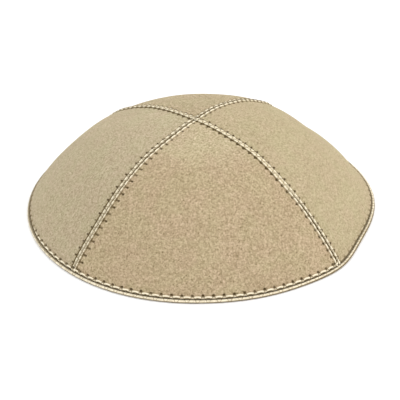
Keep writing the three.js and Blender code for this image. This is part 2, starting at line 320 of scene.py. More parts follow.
# The painted shade of a hole is drawn out this far towards the joint, in mm, as painted shadow of the
# thread, and distances there are shortened by this share
HOLE_SHADOW_REACH = 0.8
HOLE_SHADOW_STRETCH = 0.45

# Ranges of the trim's painted highlight along its fold and of the painted shade in its groove and under
# it, in mm off the wall from the panels' face and up the wall from its own middle
TRIM_HIGHLIGHT_RANGE = (-0.50, -0.20)
TRIM_PATCHES = (0.3, 0.7, 0.75, 1.0)
TRIM_HIGHLIGHT_BY_NAP = (*NAP_LEVELS, 0.6, 1.0)
TRIM_GROOVE_SHADE = (0.18, 0.44, 0.66, 0.0)
TRIM_UPPER = (0.0, 0.3)
TRIM_UNDERSIDE_SHADE = (-0.50, -0.12, 0.75, 0.0)
# How far a bulge lifts the painted highlight and the painted shade under the trim, and how far a tuck
# moves the painted shade of the groove
FOLD_LIFT = 0.7
GROOVE_TUCK = 0.6

# The floor, and the studio lights: place, size, power and tint
FLOOR_HALF_WIDTH = 3.0
LIGHTS = {
    "key": ((1.0, 0.15, 1.1), 0.7, 8, (1.0, 0.98, 0.95)),
    "fill": ((-0.8, -1.0, 0.9), 1.0, 3, (0.96, 0.98, 1.0)),
}
LIGHT_TARGET = (0, 0, 0.02)

# The camera, worked out from the outline and the seams in the photo
CAMERA_AZIMUTH = math.radians(-2.46)
CAMERA_ELEVATION = math.radians(32.44)
CAMERA_ROLL = math.radians(-0.72)
CAMERA_DISTANCE = 0.600
CAMERA_TARGET = Vector((-0.45 * MM, -0.22 * MM, 0.38 * MM))
PHOTO_SIZE = 400
FOCAL_PIXELS = 1174.5
SENSOR_WIDTH = 36.0


def trim_support(across, along):
    """How far a rounded trim section reaches in a direction, from its two shares of that direction."""
    power = TRIM_ROUNDNESS / (TRIM_ROUNDNESS - 1)
    return ((TRIM_WIDTH / 2 * across) ** power + (TRIM_HEIGHT / 2 * along) ** power) ** (1 / power)


# The slope of the dome's wall at the rim, and where the trim and the panels' lower edge are on it
CAP_SINE = math.sin(RIM_WALL_ANGLE)
CAP_COSINE = math.cos(RIM_WALL_ANGLE)
WALL_SLOPE = math.atan2(CROWN_HEIGHT * CAP_SINE ** 2 / ((1 - CAP_COSINE) * CAP_COSINE), RIM_RADIUS)
UP_WALL = np.array([-math.cos(WALL_SLOPE), math.sin(WALL_SLOPE)])
OFF_WALL = np.array([math.sin(WALL_SLOPE), math.cos(WALL_SLOPE)])
UPRIGHT = np.array([0, 0, 1.0])
TRIM_CENTRE = np.array([
    RIM_RADIUS - trim_support(math.sin(WALL_SLOPE), math.cos(WALL_SLOPE)),
    trim_support(math.cos(WALL_SLOPE), math.sin(WALL_SLOPE)) - FOOT_PRESS,
])
TRIM_OFF = TRIM_PROUD - TRIM_WIDTH / 2
TRIM_UP = -(TRIM_GAP + TRIM_HEIGHT / 2)
PANEL_EDGE = TRIM_CENTRE - OFF_WALL * TRIM_OFF - UP_WALL * TRIM_UP
WALL_PER_REACH = RIM_RADIUS / math.cos(WALL_SLOPE)


def turn(start, end):
    """Turn from one bearing to another, between -180 and 180."""
    return (end - start + 180) % 360 - 180


def unit(vectors):
    """Vectors scaled to a length of 1."""
    return vectors / np.linalg.norm(vectors, axis=-1, keepdims=True)


def bump(distance, half_width):
    """A soft hump that is 1 at distance 0 and has almost gone at two half widths."""
    return np.exp(-((distance / half_width) ** 2))


def smooth_step(low, high, value):
    """A smooth change from 0 at low to 1 at high, where high may be the smaller number."""
    share = np.clip((value - low) / (high - low), 0, 1)
    return share * share * (3 - 2 * share)


def at_holes(phase):
    """A wave that is 1 at each needle hole and 0 half way between two of them."""
    return 0.5 + 0.5 * np.cos(2 * math.pi * phase)


def zigzag(phase):
    """A zigzag between 1 at each whole stitch and 0 half way to the next."""
    return np.abs(phase - np.floor(phase) - 0.5) * 2


def section_value(column, bearing):
    """A column of SECTIONS at any bearing, as a smooth closed curve through its rows."""
    rows = np.array(SECTIONS[column])
    place = (bearing % 360) / 360 * len(rows)
    row = np.floor(place).astype(int)
    part = place - row
    before, here, ahead, after = (rows[(row + step) % len(rows)] for step in (-1, 0, 1, 2))
    bend = (2 * before - 5 * here + 4 * ahead - after) * part ** 2
    twist = (3 * here - before - 3 * ahead + after) * part ** 3
    return 0.5 * (2 * here + (ahead - before) * part + bend + twist)


def spread(reach, powers):
    """A weight that is 1 at its peak and 0 at the crown and the rim."""
    crown_power, rim_power = powers
    peak = crown_power / (crown_power + rim_power)
    most = peak ** crown_power * (1 - peak) ** rim_power
    return reach ** crown_power * (1 - reach) ** rim_power / most


def dome_point(bearing, reach):
    """Points on the smooth outer face of the dome, before the rim is centred."""
    bearing, reach = np.broadcast_arrays(np.asarray(bearing, float), np.asarray(reach, float))
    angle = np.radians(bearing)
    tilt = np.arcsin(np.minimum(1, reach * CAP_SINE))
    fold = sum(
        RIM_RADIUS * rise * bump(turn(place, bearing), width) * bump(reach - at, span)
        for place, width, at, span, rise in FOLDS
    ) * (1 - reach ** FOLD_FADE_POWER)
    corner_place, corner_width, corner_push = RIM_CORNER
    corner = corner_push * bump(turn(corner_place, bearing), corner_width)
    waves = RIM_RADIUS * (section_value("rim_out", bearing) + corner) * reach ** RIM_WAVE_POWER
    radius = PANEL_EDGE[0] * reach + waves + fold * np.sin(tilt)
    cap = (np.cos(tilt) - CAP_COSINE) / (1 - CAP_COSINE)
    lift = (
        (LEAN_RIGHT * np.cos(angle) + LEAN_BACK * np.sin(angle)) * spread(reach ** 2, LEAN_SPREAD)
        + section_value("side_lift", bearing) * spread(reach, SIDE_SPREAD)
        + section_value("shoulder_lift", bearing) * spread(reach, SHOULDER_SPREAD)
    )
    shift = RIM_RADIUS * (1 - reach ** 2)
    return np.stack([
        radius * np.cos(angle) + CROWN_SHIFT_X * shift,
        radius * np.sin(angle) + CROWN_SHIFT_Y * shift,
        PANEL_EDGE[1] + (CROWN_HEIGHT - PANEL_EDGE[1]) * cap + CROWN_HEIGHT * lift + fold * np.cos(tilt),
    ], axis=-1)


def dome_normal(bearing, reach):
    """Outward directions of the dome's outer face."""
    step = 0.004
    near = np.maximum(reach, 3 * step)
    below = dome_point(bearing, np.minimum(1, reach + step))
    above = dome_point(bearing, np.maximum(0, reach - step))
    along = dome_point(bearing + 1, near) - dome_point(bearing - 1, near)
    return unit(np.cross(below - above, along))


def rim_outward(bearing):
    """Outward directions of the rim in plan."""
    along = dome_point(bearing + 0.5, 1) - dome_point(bearing - 0.5, 1)
    return unit(np.stack([along[..., 1], -along[..., 0], np.zeros_like(along[..., 0])], axis=-1))


def rim_point(bearing, off, up):
    """Points near the rim: off the wall and up the wall from the panels' lower edge."""
    edge = dome_point(bearing, np.ones_like(bearing))
    out = off * OFF_WALL[0] + up * UP_WALL[0]
    rise = off * OFF_WALL[1] + up * UP_WALL[1]
    return edge + rim_outward(bearing) * out[..., None] + UPRIGHT * rise[..., None]


# The whole cap is centred on the middle of its rim
rim_bearings = np.linspace(0, 360, 1441)
rim_outline = dome_point(rim_bearings, 1.0) + rim_outward(rim_bearings) * (RIM_RADIUS - PANEL_EDGE[0])
MIDDLE = (rim_outline.min(axis=0) + rim_outline.max(axis=0)) / 2 * np.array([1, 1, 0])


def run_length(points):
    """Length along a line of points, from its start to each of them."""
    steps = np.linalg.norm(np.diff(points, axis=0), axis=1)
    return np.concatenate([[0], np.cumsum(steps)])


# The rim has a whole number of stitches
rim_lengths = run_length(dome_point(rim_bearings, 1.0))
RIM_STITCHES = round(rim_lengths[-1] / RIM_PITCH)


def rim_lip(bearing):
    """How strongly the panels' lower edge is pulled up into a lip, at any bearing."""
    strength = np.zeros_like(bearing)
    for panel in PANELS.values():
        start, end = (SEAMS[name]["bearing"] for name in panel["seams"])
        across = (bearing - start) % 360 / ((end - start) % 360)
        first, last = panel["rim_lips"]
        here = first + (last - first) * smooth_step(*RIM_LIP_SPREAD, across)
        strength = np.where(across <= 1, here, strength)
    return strength


def rim_phase(bearing):
    """Place along the rim in stitches."""
    return np.interp(bearing % 360, rim_bearings, rim_lengths) / rim_lengths[-1] * RIM_STITCHES


def seam_bearing(name, reach):
    """Bearing of a seam at any reach."""
    seam = SEAMS[name]
    near_crown = smooth_step(*CROWN_TURN_SPREAD, reach)
    return seam["bearing"] + seam["bow"] * 4 * reach * (1 - reach) + seam["crown_turn"] * near_crown


# Length along each seam from the crown, at even steps of reach
seam_reaches = np.linspace(0, 1, 801)
seam_lengths = {
    name: run_length(dome_point(seam_bearing(name, seam_reaches), seam_reaches)) for name in SEAMS
}


def seam_phase(name, reach):
    """Place along a seam in stitches, from the crown."""
    return np.interp(reach, seam_reaches, seam_lengths[name]) / SEAM_PITCH


def seam_form(name, side, phase):
    """Form of one side of a seam at places along it: its lip, its crease and its holes' distance."""
    seam = SEAMS[name]
    changes = {
        "lip": (seam["lips"][side], LIP_SPREAD),
        "lip_place": (seam["lip_places"], LIP_SPREAD),
        "crease": (seam["creases"][side], CREASE_SPREAD),
        "hole": ((CROWN_HOLES, seam["holes"][side]), HOLES_SPREAD),
    }
    return {
        key: at_crown + (at_rim - at_crown) * smooth_step(*stitches, phase)
        for key, ((at_crown, at_rim), stitches) in changes.items()
    }


def hide_waves(points, reach):
    """Soft waves of the hide, which fade out at the stiff rim."""
    height = np.zeros(points.shape[:-1])
    for length, direction, phase, rise in HIDE_WAVES:
        angle = math.radians(direction)
        along = points[..., 0] * math.cos(angle) + points[..., 1] * math.sin(angle)
        height += rise * np.sin(2 * math.pi * along / length + phase)
    return height * (1 - reach ** WAVE_FADE_POWER)


def panel_sides(name):
    """A panel's two seamed edges: the name of each on the mesh, its seam, and the side of that seam."""
    start, end = PANELS[name]["seams"]
    return ("stitch_start", start, 0), ("stitch_end", end, 1)


def row_reaches(bearing, tip):
    """Reaches of a panel's rows: evenly spaced from its tip down its middle, and closer near the rim."""
    lengths = run_length(dome_point(bearing, seam_reaches))
    lower = 1 - EDGE_STEPS[::-1] / WALL_PER_REACH
    first = np.interp(tip, seam_reaches, lengths)
    last = np.interp(lower[0], seam_reaches, lengths)
    rows = np.interp(np.arange(first, last - ROW_STEP / 2, ROW_STEP), lengths, seam_reaches)
    return np.concatenate([rows, lower])


def column_turns(radius, half_span):
    """How far a row's points are round the crown from the panel's first seam, in degrees."""
    pattern_radius = max(radius, TIP_RADIUS)
    room = min(1.0, pattern_radius * half_span / (EDGE_ROOM * EDGE_STEPS[-1]))
    offsets = np.arcsin((EDGE_STEPS * room + SEAM_GAP / 2) / pattern_radius)
    shares = (offsets - offsets[0]) / (half_span - offsets[0])
    inner = shares[-1] + (1 - shares[-1]) * np.arange(1, INNER_COLUMNS + 1) / INNER_COLUMNS
    gap_turn = math.asin(min(1, SEAM_GAP / 2 / radius))
    half = gap_turn + (half_span - gap_turn) * np.concatenate([shares, inner])
    return np.degrees(np.concatenate([half, 2 * half_span - half[-2::-1]]))


def panel_places(start_name, end_name):
    """Bearings and reaches of a panel's grid of points, close together along its edges."""
    start = SEAMS[start_name]["bearing"]
    span = turn(start, SEAMS[end_name]["bearing"])
    half_span = math.radians(span / 2)
    tip = SEAM_GAP / 2 / math.sin(half_span) * TIP_CLEARANCE / PANEL_EDGE[0]
    reaches = row_reaches(start + span / 2, tip)
    bearings = []
    for reach in reaches:
        start_now = seam_bearing(start_name, reach)
        span_now = turn(start_now, seam_bearing(end_name, reach))
        turns = column_turns(PANEL_EDGE[0] * reach, half_span)
        bearings.append(start_now + turns * span_now / span)
    bearings = np.array(bearings)
    return bearings, np.broadcast_to(reaches[:, None], bearings.shape)


def edge_distance(name, bearing, reach):
    """Distance in the panel's face from points to a seam's edge."""
    away = np.radians(np.abs(turn(seam_bearing(name, reach), bearing)))
    return PANEL_EDGE[0] * reach * np.sin(np.minimum(away, math.pi / 2)) - SEAM_GAP / 2


def seam_edge(name, side, bearing, reach):
    """A panel's edge along a seam: place along it in stitches, distance from it, and its form there."""
    phase = seam_phase(name, reach)
    distance = edge_distance(name, bearing, reach)
    form = seam_form(name, side, phase)
    return {"phase": phase + side / 2, "distance": distance, "pitch": SEAM_PITCH, **form}


def rim_edge(bearing, reach):
    """A panel's lower edge, in the same terms as its edges along the seams."""
    phase = rim_phase(bearing)
    from_rim = (1 - reach) * WALL_PER_REACH
    lip = rim_lip(bearing)
    sway = RIM_LIP_SWAY * lip * np.cos(2 * math.pi * phase) * smooth_step(*RIM_SWAY_SPREAD, from_rim)
    return {
        "phase": phase, "distance": from_rim + sway, "pitch": RIM_PITCH,
        "lip": lip, "lip_place": RIM_LIP_PLACE, "crease": RIM_CREASE_DEPTH, "hole": RIM_HOLES,
    }


def lip_relief(edge):
    """Raised lip along a stitched edge, and the depth of its cut, its crease and its needle holes."""
    distance, phase = edge["distance"], edge["phase"]
    pinch = at_holes(phase)
    from_crest = distance - edge["lip_place"]
    section = np.clip(1 - (from_crest / LIP_HALF_WIDTH) ** 2, 0, None) ** LIP_ROUNDNESS
    lip = LIP_RISE * edge["lip"] * section * (1 - LIP_PINCH * pinch)
    cut = CUT_DROP * bump(distance, CUT_SHARE * edge["lip_place"])
    depth = CREASE_DEPTH * np.minimum(edge["crease"], CREASE_DEEPEST)
    crease = depth * bump(from_crest - CREASE_OFFSET, CREASE_HALF_WIDTH)
    steady, pulse = CREASE_PULSE
    crease = crease * (steady + pulse * pinch)
    along = bump((phase - np.round(phase)) * edge["pitch"], HOLE_HALF_LENGTH)
    hole = HOLE_DEPTH * along * bump(distance - edge["hole"], HOLE_HALF_WIDTH)
    return lip, cut + crease + hole


def panel_heights(base, reach, edges):
    """Heights over the dome of a panel's face, and of its hide without the relief of the stitching."""
    near_start = bump(edges["stitch_start"]["distance"], SEAM_SINK_WIDTH)
    near_end = bump(edges["stitch_end"]["distance"], SEAM_SINK_WIDTH)
    hide = hide_waves(base, reach) - SEAM_SINK * (1 - (1 - near_start) * (1 - near_end))
    reliefs = zip(*(lip_relief(edge) for edge in edges.values()))
    raised, sunk = (np.max(parts, axis=0) for parts in reliefs)
    face = hide + raised - sunk * (1 - LIP_FILLS * np.clip(raised / LIP_RISE, 0, 1))
    return face, hide


def sheet_faces(rows, columns):
    """Faces of a closed sheet between two grids of points, and which of them are on its back."""
    count = rows * columns
    corner = (np.arange(rows - 1)[:, None] * columns + np.arange(columns - 1)).ravel()
    front = np.stack([corner, corner + columns, corner + columns + 1, corner + 1], axis=1)
    numbers = np.arange(count).reshape(rows, columns)
    edge = np.concatenate([
        numbers[:, 0], numbers[-1, 1:], numbers[-2::-1, -1], numbers[0, -2:0:-1],
    ])
    ahead = np.roll(edge, -1)
    walls = np.stack([ahead, edge, edge + count, ahead + count], axis=1)
    faces = np.concatenate([front, front[:, ::-1] + count, walls])
    is_back = np.concatenate([np.zeros(len(front)), np.ones(len(front)), np.zeros(len(walls))])
    return faces, is_back


def tube_faces(rings, sides, closed):
    """Faces of a tube between rings of points. A closed tube runs on from its last ring to its first."""
    ring = np.arange(rings if closed else rings - 1)
    here = ring[:, None] * sides
    there = ((ring + 1) % rings)[:, None] * sides
    index = np.arange(sides)[None, :]
    after = (index + 1) % sides
    corners = [here + index, there + index, there + after, here + after]
    return np.stack(corners, axis=-1).reshape(-1, 4)


def new_piece(name, points, faces, materials, face_materials=None, vectors=None, crisp=True):
    """A smooth-shaded mesh object with named vector values on its points, and crisp edges if asked."""
    mesh = bpy.data.meshes.new(name)
    mesh.from_pydata(points.tolist(), [], faces)
    for material in materials:
        mesh.materials.append(material)
    if face_materials is not None:
        mesh.polygons.foreach_set("material_index", face_materials.astype(np.int32))
    mesh.polygons.foreach_set("use_smooth", np.ones(len(faces), dtype=bool))
    for key, values in (vectors or {}).items():
        attribute = mesh.attributes.new(key, "FLOAT_VECTOR", "POINT")
        attribute.data.foreach_set("vector", values.astype(np.float32).ravel())
    mesh.update()
    if crisp:
        mesh.set_sharp_from_angle(angle=CRISP_ANGLE)
    piece = bpy.data.objects.new(name, mesh)
    bpy.context.scene.collection.objects.link(piece)
    return piece


class Nodes:
    """A material's node tree, with short calls for the nodes that these materials use."""

    def __init__(self, name):
        self.material = bpy.data.materials.new(name)
        self.material.use_nodes = True
        self.tree = self.material.node_tree
        self.tree.nodes.clear()

    def add(self, kind, inputs=None, **settings):
        """A new node with its settings, and with a value or a link for each named input."""
        node = self.tree.nodes.new(kind)
        for key, value in settings.items():
            setattr(node, key, value)
        for key, value in (inputs or {}).items():
            if isinstance(value, bpy.types.NodeSocket):
                self.tree.links.new(value, node.inputs[key])
            else:
                node.inputs[key].default_value = value
        return node

    def places(self):
        """Places on the piece in metres."""
        return self.add("ShaderNodeTexCoord").outputs["Object"]

    def split(self, vector):
        """The three parts of a vector."""
        return self.add("ShaderNodeSeparateXYZ", {"Vector": vector}).outputs

    def point_values(self, name):
        """The three numbers that the mesh carries on its points under a name."""
        return self.split(self.add("ShaderNodeAttribute", attribute_name=name).outputs["Vector"])

    def math(self, operation, *values, clamp=False):
        """One step of arithmetic."""
        inputs = dict(enumerate(values))
        return self.add("ShaderNodeMath", inputs, operation=operation, use_clamp=clamp).outputs[0]

    def product(self, first, *others):
        """Several values multiplied together."""
        for other in others:
            first = self.math("MULTIPLY", first, other)
        return first

    def greatest(self, first, *others):
        """The greatest of several values."""
        for other in others:
            first = self.math("MAXIMUM", first, other)
        return first

    def noise(self, places, pattern):
        """A noise pattern, given as its scale, detail, roughness and distortion."""
        scale, detail, roughness, distortion = pattern
        inputs = {
            "Vector": places, "Scale": scale, "Detail": detail,
            "Roughness": roughness, "Distortion": distortion,
        }
        return self.add("ShaderNodeTexNoise", inputs).outputs["Fac"]

    def remap(self, value, low, high, out_low=0.0, out_high=1.0):
        """A smooth change between two results as a value goes from low to high."""
        inputs = {"Value": value, 1: low, 2: high, 3: out_low, 4: out_high}
        return self.add("ShaderNodeMapRange", inputs, interpolation_type="SMOOTHSTEP").outputs[0]

    def blend(self, share, first, second, mode="MIX"):
        """One colour laid over another, by a share."""
        inputs = {0: share, 6: first, 7: second}
        return self.add("ShaderNodeMix", inputs, data_type="RGBA", blend_type=mode).outputs[2]

    def relief(self, height, strength, distance):
        """Fine bumps from a height."""
        inputs = {"Strength": strength, "Distance": distance, "Height": height}
        return self.add("ShaderNodeBump", inputs).outputs[0]

    def finish(self, inputs):
        """The material, ended in a Principled shader with these inputs."""
        shader = self.add("ShaderNodeBsdfPrincipled", inputs)
        self.add("ShaderNodeOutputMaterial", {0: shader.outputs[0]})
        return self.material


def colour(red, green, blue):
    """An opaque colour."""
    return (red, green, blue, 1.0)


def hide_colour(tone, patch):
    """The hide's colour in one of its tones and one of its patches."""
    return colour(*(base * share * part for base, share, part in zip(SUEDE_COLOUR, tone, patch)))


def suede_colours(nodes, places, tone, grain_strength=1.0):
    """The hide's own colour: slow patches, a nap that lies both ways, and fine dark flecks."""
    patches = nodes.remap(nodes.noise(places, PATCH_NOISE), *PATCH_RANGE)
    hue = nodes.blend(patches, hide_colour(tone, PINKISH), hide_colour(tone, GREENISH))
    slow = nodes.remap(nodes.noise(places, SLOW_NOISE), *SLOW_RANGE)
    nap = nodes.remap(nodes.noise(places, NAP_NOISE), *NAP_RANGE)
    fleck = nodes.remap(nodes.noise(places, FLECK_NOISE), *FLECK_RANGE)
    fine = nodes.math("POWER", nodes.product(nap, fleck), grain_strength)
    shade = nodes.product(slow, fine)
    green_shade = nodes.math("POWER", shade, GRAIN_GREEN)
    blue_shade = nodes.math("POWER", shade, GRAIN_BLUE)
    grain = nodes.add("ShaderNodeCombineColor", {0: shade, 1: green_shade, 2: blue_shade}).outputs[0]
    return nodes.blend(1.0, hue, grain, "MULTIPLY"), nap, fleck


def pale_lip_and_highlight_mask(nodes, from_crest, along, strength, cut_shade_here):
    """The pale lip, a paler cut edge with a painted highlight, pinched into beads by the stitches. It fills
    the joint where the cut has no painted shade.
    """
    towards_joint = nodes.product(nodes.math("MINIMUM", from_crest, 0.0), cut_shade_here)
    from_lip = nodes.math("SUBTRACT", nodes.math("MAXIMUM", from_crest, 0.0), towards_joint)
    return nodes.product(nodes.remap(from_lip, *LIP_FADE), nodes.remap(along, *BEAD_PINCH), strength)


def crease_shade_mask(nodes, from_crest, along, strength, crease_shade_here):
    """The painted shade in the crease outside a lip, darkest beside the holes, and wider where it is very
    strong.
    """
    from_outer = nodes.math("SUBTRACT", from_crest, nodes.remap(crease_shade_here, *CREASE_WIDENING))
    crease = nodes.product(nodes.remap(from_crest, *CREASE_START), nodes.remap(from_outer, *CREASE_END))
    beside_lip = nodes.math("MULTIPLY", strength, CREASE_PER_LIP, clamp=True)
    beside_hole = nodes.math("MULTIPLY", crease_shade_here, nodes.remap(along, *CREASE_AT_HOLES), clamp=True)
    return nodes.product(crease, beside_lip, beside_hole)


def cut_shade_mask(nodes, from_crest, strength, cut_shade_here):
    """The painted shade in the cut at the joint, which is wider beside a flat edge."""
    away = nodes.math("SUBTRACT", from_crest, nodes.remap(strength, *CUT_WIDENING))
    return nodes.product(nodes.remap(away, *CUT_FADE), cut_shade_here)


def hole_shade_mask(nodes, from_hole, nearest, along, from_crest, strength):
    """Painted shade in the needle holes, each a little out of line, drawn out towards the joint as painted
    shadow of the thread.

    A hole has the same length in stitches on the seams and on the rim.
    """
    each = nodes.add("ShaderNodeTexWhiteNoise", {"W": nearest}, noise_dimensions="1D").outputs["Value"]
    shift = nodes.product(nodes.math("SUBTRACT", each, 0.5), HOLE_SCATTER)
    across = nodes.math("SUBTRACT", from_hole, shift)
    # The thread's painted shadow draws the hole's shade out towards the joint
    across = nodes.product(across, nodes.remap(across, -HOLE_SHADOW_REACH, 0.0, HOLE_SHADOW_STRETCH, 1.0))
    along_share = nodes.product(along, SEAM_PITCH / HOLE_HALF_LENGTH)
    across_share = nodes.math("DIVIDE", across, HOLE_WIDER * HOLE_HALF_WIDTH / MM)
    along_square = nodes.product(along_share, along_share)
    across_square = nodes.product(across_share, across_share)
    return nodes.product(
        nodes.remap(nodes.math("ADD", along_square, across_square), *HOLE_FADE),
        nodes.remap(from_crest, *HOLE_PAST_LIP),
        nodes.remap(strength, *HOLE_BY_LIP),
        nodes.remap(each, *HOLE_DARKNESS),
    )


def stitch_masks(nodes, ragged, edge_name, lips, cut_shading, holes, crease_shading):
    """Masks beside one stitched edge: the pale lip with a painted highlight, and painted shade in the cut,
    crease and holes.

    The last four are ranges along the edge, in stitches: of the lip's distance, the darkness of the
    cut's painted shade, the holes' distance and the darkness of the crease's painted shade.
    """
    phase, exact_distance, strength = nodes.point_values(edge_name)
    distance = nodes.math("ADD", exact_distance, ragged)
    nearest = nodes.math("ROUND", phase)
    along = nodes.math("ABSOLUTE", nodes.math("SUBTRACT", phase, nearest))
    from_crest = nodes.math("SUBTRACT", distance, nodes.remap(phase, *lips))
    from_hole = nodes.math("SUBTRACT", distance, nodes.remap(phase, *holes))
    cut_shade_here = nodes.remap(phase, *cut_shading)
    crease_shade_here = nodes.remap(phase, *crease_shading)
    lip = pale_lip_and_highlight_mask(nodes, from_crest, along, strength, cut_shade_here)
    crease = crease_shade_mask(nodes, from_crest, along, strength, crease_shade_here)
    cut = cut_shade_mask(nodes, from_crest, strength, cut_shade_here)
    hole = hole_shade_mask(nodes, from_hole, nearest, along, from_crest, strength)
    return lip, nodes.greatest(crease, cut), hole


def panel_masks(nodes, name, ragged):
    """The masks of a panel's three stitched edges, laid together."""
    edges = []
    for edge_name, seam_name, side in panel_sides(name):
        seam = SEAMS[seam_name]
        edges.append(stitch_masks(
            nodes, ragged, edge_name,
            (*LIP_SPREAD, *(place / MM for place in seam["lip_places"])),
            (*OPENING_SPREAD, *seam["cut"]),
            (*HOLES_SPREAD, CROWN_HOLES / MM, seam["holes"][side] / MM),
            (*CREASE_SPREAD, *seam["creases"][side]),
        ))
    # The rim's cut and crease are painted shade, as dark all along
    rim_values = (RIM_LIP_PLACE / MM, RIM_CUT_SHADE, RIM_HOLES / MM, RIM_CREASE)
    rim_ranges = ((*BEFORE_RIM, value, value) for value in rim_values)
    edges.append(stitch_masks(nodes, ragged, "stitch_rim", *rim_ranges))
    return (nodes.greatest(*masks) for masks in zip(*edges))


def suede_material(name):
    """The napped outer face of a panel, with pale pulled edges and a painted highlight, and painted shade
    in creases and holes.
    """
    panel = PANELS[name]
    nodes = Nodes(f"suede_{name}")
    places = nodes.places()
    # The panel's tone is partly the hide's own and partly painted light for how the panel is lit
    hide, nap, fleck = suede_colours(nodes, places, panel["tone"], panel["grain"])
    # Painted light: the hide is painted lighter near the crown
    near_crown = nodes.remap(nodes.split(places)["Z"], *CROWN_LIGHT_SPREAD)
    hide = nodes.blend(near_crown, hide, colour(*panel["painted_crown_light"]), "MULTIPLY")
    ragged = nodes.product(nodes.math("SUBTRACT", nap, 1.0), RAGGED_EDGE)
    lip, dark, hole = panel_masks(nodes, name, ragged)
    # The pale lips carry a painted highlight; the cut, the crease and the needle holes are painted shade
    pale_lip_share = nodes.product(lip, nodes.remap(nap, *LIP_PALE_BY_NAP))
    shade_off_lip = nodes.product(dark, nodes.math("SUBTRACT", 1.0, lip, clamp=True))
    pale = nodes.blend(pale_lip_share, hide, PALE_EDGE_AND_HIGHLIGHT_COLOUR)
    crease_and_cut_shaded = nodes.blend(shade_off_lip, pale, PAINTED_SHADE_COLOUR)
    hole_shaded = nodes.blend(hole, crease_and_cut_shaded, PAINTED_HOLE_SHADE_COLOUR)
    fibres = nodes.product(nodes.noise(places, FACE_FIBRE_NOISE), FACE_FIBRE_HEIGHT)
    height = nodes.math("ADD", nap, fibres)
    height = nodes.math("ADD", height, nodes.product(fleck, FLECK_HEIGHT))
    return nodes.finish({
        "Base Color": hole_shaded, "Roughness": nodes.remap(nap, *FACE_ROUGHNESS),
        "Normal": nodes.relief(height, 0.5, 0.35 * MM), "Specular IOR Level": 0.06,
        "Sheen Weight": 0.20, "Sheen Roughness": 0.55, "Sheen Tint": colour(1.0, 0.89, 0.64),
    })


def lining_side_material():
    """The back of the hide: paler, with longer loose fibres."""
    nodes = Nodes("suede_back")
    places = nodes.places()
    hide, nap, _ = suede_colours(nodes, places, BACK_TONE)
    fibres = nodes.product(nodes.noise(places, BACK_FIBRE_NOISE), BACK_FIBRE_HEIGHT)
    height = nodes.math("ADD", nap, fibres)
    return nodes.finish({
        "Base Color": hide, "Roughness": 0.97,
        "Normal": nodes.relief(height, 0.7, 0.5 * MM), "Specular IOR Level": 0.1,
        "Sheen Weight": 0.3, "Sheen Roughness": 0.6, "Sheen Tint": colour(1.0, 0.92, 0.78),
    })


def trim_material():
    """The folded strip: the same suede, with a patchy painted highlight along its fold, and painted shade
    in its groove and below.
    """
    nodes = Nodes("trim_suede")
    places = nodes.places()
    hide, nap, _ = suede_colours(nodes, places, TRIM_TONE)
    off_wall, up_wall, bulge = nodes.point_values("trim_section")
    from_foot = nodes.math("SUBTRACT", up_wall, nodes.product(bulge, FOLD_LIFT))
    patches = nodes.remap(nodes.noise(places, TRIM_NOISE), *TRIM_PATCHES)
    patchy = nodes.product(patches, nodes.remap(nap, *TRIM_HIGHLIGHT_BY_NAP))
    # Painted highlight along the trim's fold, in patches
    trim_highlight = nodes.product(nodes.remap(from_foot, *TRIM_HIGHLIGHT_RANGE), patchy)
    pale = nodes.blend(trim_highlight, hide, PALE_EDGE_AND_HIGHLIGHT_COLOUR)
    # Painted shade in the trim's groove by the panels and on its underside
    tuck = nodes.product(nodes.math("MINIMUM", bulge, 0.0), GROOVE_TUCK)
    inward = nodes.math("ADD", off_wall, tuck)
    groove_shade = nodes.product(nodes.remap(inward, *TRIM_GROOVE_SHADE), nodes.remap(up_wall, *TRIM_UPPER))
    underside_shade = nodes.remap(from_foot, *TRIM_UNDERSIDE_SHADE)
    shaded = nodes.blend(nodes.greatest(groove_shade, underside_shade), pale, PAINTED_SHADE_COLOUR)
    return nodes.finish({
        "Base Color": shaded, "Roughness": 0.9,
        "Normal": nodes.relief(nap, 0.4, 0.3 * MM), "Specular IOR Level": 0.08,
        "Sheen Weight": 0.10, "Sheen Roughness": 0.5, "Sheen Tint": colour(1.0, 0.88, 0.66),
    })


def thread_material():
    """Twisted olive-brown sewing thread."""
    nodes = Nodes("brown_thread")
    plies = nodes.noise(nodes.places(), PLY_NOISE)
    tint = nodes.blend(nodes.remap(plies, *PLY_RANGE), THREAD_DARK, THREAD_PALE)
    return nodes.finish({
        "Base Color": tint, "Roughness": 0.55,
        "Normal": nodes.relief(plies, 0.5, 0.1 * MM), "Specular IOR Level": 0.35,
    })


def floor_material():
    """A pale matt floor, very slightly cloudy."""
    nodes = Nodes("pale_floor")
    cloudy = nodes.remap(nodes.noise(nodes.places(), FLOOR_NOISE), *FLOOR_RANGE)
    tint = nodes.blend(cloudy, FLOOR_DARK, FLOOR_PALE)
    return nodes.finish({"Base Color": tint, "Roughness": 0.9, "Specular IOR Level": 0.1})


def make_panel(name, back_material):
    """A panel as a closed sheet of suede: napped face, back, and the cut edges between them."""
    bearing, reach = panel_places(*PANELS[name]["seams"])
    base = dome_point(bearing, reach)
    normal = dome_normal(bearing, reach)
    edges = {key: seam_edge(seam, side, bearing, reach) for key, seam, side in panel_sides(name)}
    edges["stitch_rim"] = rim_edge(bearing, reach)
    face, hide = panel_heights(base, reach, edges)
    outer = base + normal * face[..., None] - MIDDLE
    inner = base + normal * (hide - PANEL_WALL)[..., None] - MIDDLE
    points = np.concatenate([outer.reshape(-1, 3), inner.reshape(-1, 3)])
    faces, is_back = sheet_faces(*bearing.shape)
    vectors = {}
    for key, edge in edges.items():
        parts = [edge["phase"], edge["distance"] / MM, edge["lip"]]
        values = np.stack(parts, axis=-1).reshape(-1, 3)
        vectors[key] = np.concatenate([values, values])
    materials = (suede_material(name), back_material)
    piece = new_piece(f"{name}_suede", points, faces.tolist(), materials, is_back, vectors)
    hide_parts(name)
    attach(piece, "root")


